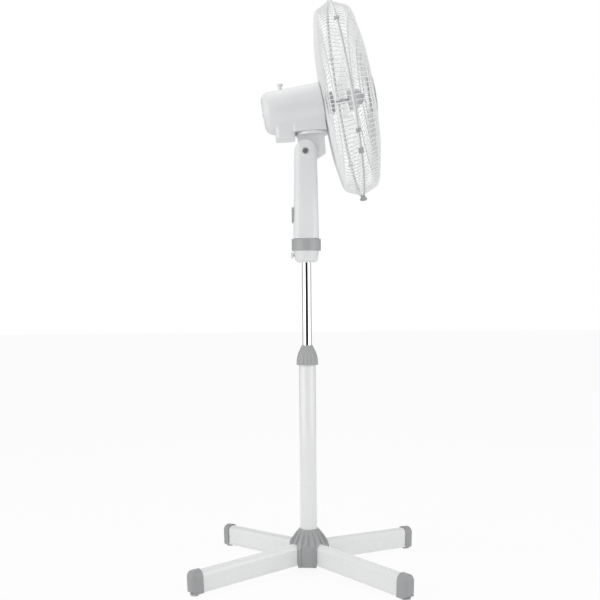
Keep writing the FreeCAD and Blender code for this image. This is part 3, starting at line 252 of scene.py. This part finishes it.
# nodes with a plastic of their own instead of their slot's, in the same terms
OWN_PLASTIC = {
    "spinner": ((0.76, 0.77, 0.78), (0.70, 0.71, 0.72), 0.42, 1200, 0.0003),
    "guard_nut": ((0.50, 0.505, 0.51), (0.43, 0.435, 0.44), 0.45, 1200, 0.0003),
    "front_rim_hoop": ((0.66, 0.665, 0.67), (0.60, 0.605, 0.61), 0.4, 900, 0.0003),
    "guard_plate": ((0.80, 0.805, 0.81), (0.76, 0.765, 0.77), 0.42, 900, 0.0003),
    "front_badge": ((0.74, 0.75, 0.76), (0.70, 0.71, 0.72), 0.36, 1200, 0.0002),
}
LEG_CAP_PLASTIC = ((0.39, 0.395, 0.40), (0.35, 0.355, 0.36), 0.4, 1300, 0.0003)
for side in ("front_left", "front_right", "rear_left", "rear_right"):
    OWN_PLASTIC[f"leg_cap_{side}"] = LEG_CAP_PLASTIC

finishes = {name: moulded(f"{name}_finish", *skin) for name, skin in MOULDED.items()}
finishes |= {
    "white_enamel": make_enamel(),
    "chrome": make_chrome(),
    "bright_steel": make_metal("bright_steel_finish", (0.66, 0.67, 0.68), (0.52, 0.53, 0.55),
                               0.3),
    "cast_alloy": make_metal("cast_alloy_finish", (0.52, 0.53, 0.54), (0.42, 0.43, 0.44),
                             0.55, scale=700, depth=0.0006),
    "copper": make_metal("copper_finish", (0.72, 0.32, 0.14), (0.52, 0.21, 0.09), 0.35,
                         (1, 4, 4), scale=260, depth=0.0008),
    "core_steel": make_core(),
    "clear_plastic": make_clear(),
}

slot_of = {entry["node"]: entry["material_slot"] for entry in record["subparts"]}
body_of = {name: body for body, names in record["behaviour"]["bodies"].items() for name in names}
for name, slot_name in slot_of.items():
    if name in OWN_PLASTIC:
        finish = moulded(f"{name}_finish", *OWN_PLASTIC[name])
    else:
        finish = finishes[slot_name]
    for slot in nodes[name].material_slots:
        slot.material = finish


# ------------------------------------------------------------------ round pieces of the pole
SHARP_EDGE = math.radians(38)           # edges that turn by more than this look sharp
NEARLY_STRAIGHT = math.radians(165)     # corners more open than this aren't rounded
TUBE_ROUND = 0.0004
COLLAR_FLUTES = 11
FLUTE_DEPTH = 0.0016
FLUTE_MIDDLE = 0.25                     # height, as a share, where the flutes are deepest
FLUTE_FADE = 0.9                        # how fast the flutes fade above and below it


def turned(name, node, outline, flutes=0, depth=None, segments=144):
    """Closed outline of (radius, height) turned about the pole, with optional flutes."""
    mesh = bmesh.new()
    rows = []
    for radius, height in outline:
        row = []
        for step in range(segments):
            angle = math.tau * step / segments
            reach = radius
            if flutes:
                reach -= depth(radius, height) * (0.5 + 0.5 * math.cos(flutes * angle)) ** 2
            row.append(mesh.verts.new((reach * math.cos(angle), reach * math.sin(angle), height)))
        rows.append(row)
    for first, second in zip(rows, rows[1:] + rows[:1]):
        for step in range(segments):
            after = (step + 1) % segments
            mesh.faces.new((first[step], first[after], second[after], second[step]))
    bmesh.ops.recalc_face_normals(mesh, faces=mesh.faces)
    data = bpy.data.meshes.new(name)
    mesh.to_mesh(data)
    mesh.free()
    data.polygons.foreach_set("use_smooth", [True] * len(data.polygons))
    piece = bpy.data.objects.new(name, data)
    bpy.context.collection.objects.link(piece)
    piece.data.materials.append(finishes[slot_of[node]])
    creases = piece.modifiers.new("creases", "EDGE_SPLIT")
    creases.split_angle = SHARP_EDGE
    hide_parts(node)
    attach(piece, body_of[node])


def rounded(outline, corner, steps=4):
    """Outline with every corner, unless it is nearly straight, turned into a small round."""
    out = []
    count = len(outline)
    for index, (radius, height) in enumerate(outline):
        here = Vector((radius, height))
        before = Vector(outline[index - 1]) - here
        after = Vector(outline[(index + 1) % count]) - here
        if before.angle(after) > NEARLY_STRAIGHT:
            out.append((radius, height))
            continue
        cut = min(corner, before.length * 0.45, after.length * 0.45)
        start, end = here + before.normalized() * cut, here + after.normalized() * cut
        for step in range(steps + 1):
            share = step / steps
            spot = start.lerp(here, share).lerp(here.lerp(end, share), share)
            out.append((spot.x, spot.y))
    return out


def make_tube(name, node, wall):
    """Plain tube with eased ends in place of a CAD tube."""
    low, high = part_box(node)
    radius = (high.x - low.x) / 2
    inner = radius - wall
    turned(name, node, rounded([(inner, low.z), (radius, low.z), (radius, high.z),
                                (inner, high.z)], TUBE_ROUND))


def make_collar():
    """Bell-shaped height collar, gathered into folds like petals."""
    low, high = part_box("height_collar")
    base, tall = (high.x - low.x) / 2, high.z - low.z
    bore, seat = 0.01025, 0.01855       # round the chrome rod, and round the outer tube
    bell = [(0.0, 1.0), (0.04, 1.0), (0.23, 0.985), (0.42, 0.93), (0.58, 0.85), (0.72, 0.74),
            (0.85, 0.625), (0.95, 0.53), (1.0, 0.50)]       # shares of (height, width)
    outline = [(base * width, low.z + tall * height) for height, width in bell]
    step = low.z + tall * 0.28
    outline += [(bore, high.z), (bore, step + 0.002), (seat, step), (seat, low.z)]

    def depth(radius, height):
        """Depth of the flutes: none on the bore and the seat."""
        share = (height - low.z) / tall
        if radius < seat + 0.0002 and share < 0.95:
            return 0.0
        return FLUTE_DEPTH * max(0.0, 1 - abs(share - FLUTE_MIDDLE) * FLUTE_FADE)

    turned("pole_collar", "height_collar", outline, flutes=COLLAR_FLUTES, depth=depth,
           segments=264)


make_tube("pole_outer_tube", "outer_tube", wall=0.0015)
make_tube("pole_chrome_rod", "chrome_rod", wall=0.001)
make_collar()


# ------------------------------------------------------------------ stage, light and camera
FLOOR_SIZE = 40
FLOOR_GLOW = 0.93           # share of the floor that shows as plain white to background rays
ROOM_LIGHT = 0.47           # soft light from all round
WHITE = colour(1, 1, 1)

# softboxes: name, place, point they face, width and height (m), power (W)
LAMPS = (
    ("left_softbox", (-1.5, 2.3, 1.2), (0, 0, 0.9), 2.4, 29),
    ("right_softbox", (-1.5, -2.4, 1.2), (0, 0, 0.9), 2.4, 26),
    ("top_softbox", (0.3, 0.2, 3.0), (0, 0, 0.6), 2.0, 15),
)
# dark cards: name, place, turn about the vertical (degrees), width (m), tone
CARDS = (
    ("studio_black_card", (-3.4, 0.0, 1.0), -90, 3.8, 0.02),
    ("studio_left_card", (1.9, 1.6, 1.0), -50, 1.7, 0.16),
    ("studio_right_card", (1.9, -1.6, 1.0), 50, 1.7, 0.16),
)
CARD_HEIGHT = 2.4

CAMERA_PLACE = (-2.19, 0.0150, 0.579)
CAMERA_ROLL = math.radians(-0.5)
LENS = 59.8                 # mm, on a sensor 36 mm wide
SENSOR_WIDTH = 36
LENS_SHIFT_UP = 0.01


def make_floor():
    bpy.ops.mesh.primitive_plane_add(size=FLOOR_SIZE, location=(0, 0, 0))
    floor = bpy.context.object
    floor.name = "studio_floor"
    paper = Finish("studio_floor_paper")
    tint = paper.noise(1.5, detail=2)
    paper.set(Base_Color=paper.mix(tint, colour(0.93, 0.93, 0.93), colour(0.95, 0.95, 0.95)),
              Roughness=0.9)
    glow = paper.out(paper.node("ShaderNodeEmission", sockets={"Color": WHITE, "Strength": 1.0}))
    lit = paper.out(paper.shader)
    paper.surface(paper.blend(paper.background_rays() * FLOOR_GLOW, lit, glow))
    floor.data.materials.append(paper.material)


def make_world():
    """White behind the object, and a softer even light on it."""
    world = bpy.data.worlds.new("studio")
    bpy.context.scene.world = world
    world.use_nodes = True
    sky = Nodes(world.node_tree)
    output = sky.node("ShaderNodeOutputWorld")
    soft, white = (
        sky.out(sky.node("ShaderNodeBackground", sockets={"Color": WHITE, "Strength": strength}))
        for strength in (ROOM_LIGHT, 1.0)
    )
    plug(sky.tree, output.inputs["Surface"], sky.blend(sky.background_rays(), soft, white))


def add_lamp(name, place, target, side, power):
    lamp = bpy.data.lights.new(name, "AREA")
    lamp.shape = "RECTANGLE"
    lamp.size = lamp.size_y = side
    lamp.energy = power
    holder = bpy.data.objects.new(name, lamp)
    bpy.context.collection.objects.link(holder)
    holder.location = place
    direction = Vector(target) - Vector(place)
    holder.rotation_euler = direction.to_track_quat("-Z", "Y").to_euler()


def add_card(name, place, turn, width, tone):
    """Dark card that only shows in gloss, so that plated and glossy pieces keep dark edges."""
    bpy.ops.mesh.primitive_plane_add(size=1, location=place)
    card = bpy.context.object
    card.name = name
    card.scale = (width, CARD_HEIGHT, 1)
    card.rotation_euler = (math.radians(90), 0, math.radians(turn))
    felt = Finish(f"{name}_felt")
    pale = tone * 1.5
    felt.set(Base_Color=felt.mix(felt.noise(40), colour(tone, tone, tone),
                                 colour(pale, pale, pale)), Roughness=0.95)
    card.data.materials.append(felt.material)
    card.visible_camera = False
    card.visible_diffuse = False
    card.visible_shadow = False


def add_camera():
    """Level camera at the fan's left side, looking square across it."""
    lens = bpy.data.cameras.new("view")
    lens.sensor_width = SENSOR_WIDTH
    lens.lens = LENS
    lens.shift_y = LENS_SHIFT_UP
    lens.clip_end = 100
    camera = bpy.data.objects.new("view", lens)
    bpy.context.collection.objects.link(camera)
    camera.location = CAMERA_PLACE
    aim = Matrix.Rotation(math.radians(-90), 3, "Z") @ Matrix.Rotation(math.radians(90), 3, "X")
    camera.rotation_euler = (aim @ Matrix.Rotation(CAMERA_ROLL, 3, "Z")).to_euler()
    bpy.context.scene.camera = camera


make_floor()
make_world()
for lamp in LAMPS:
    add_lamp(*lamp)
for card in CARDS:
    add_card(*card)
add_camera()
bpy.context.scene.view_settings.view_transform = "Standard"
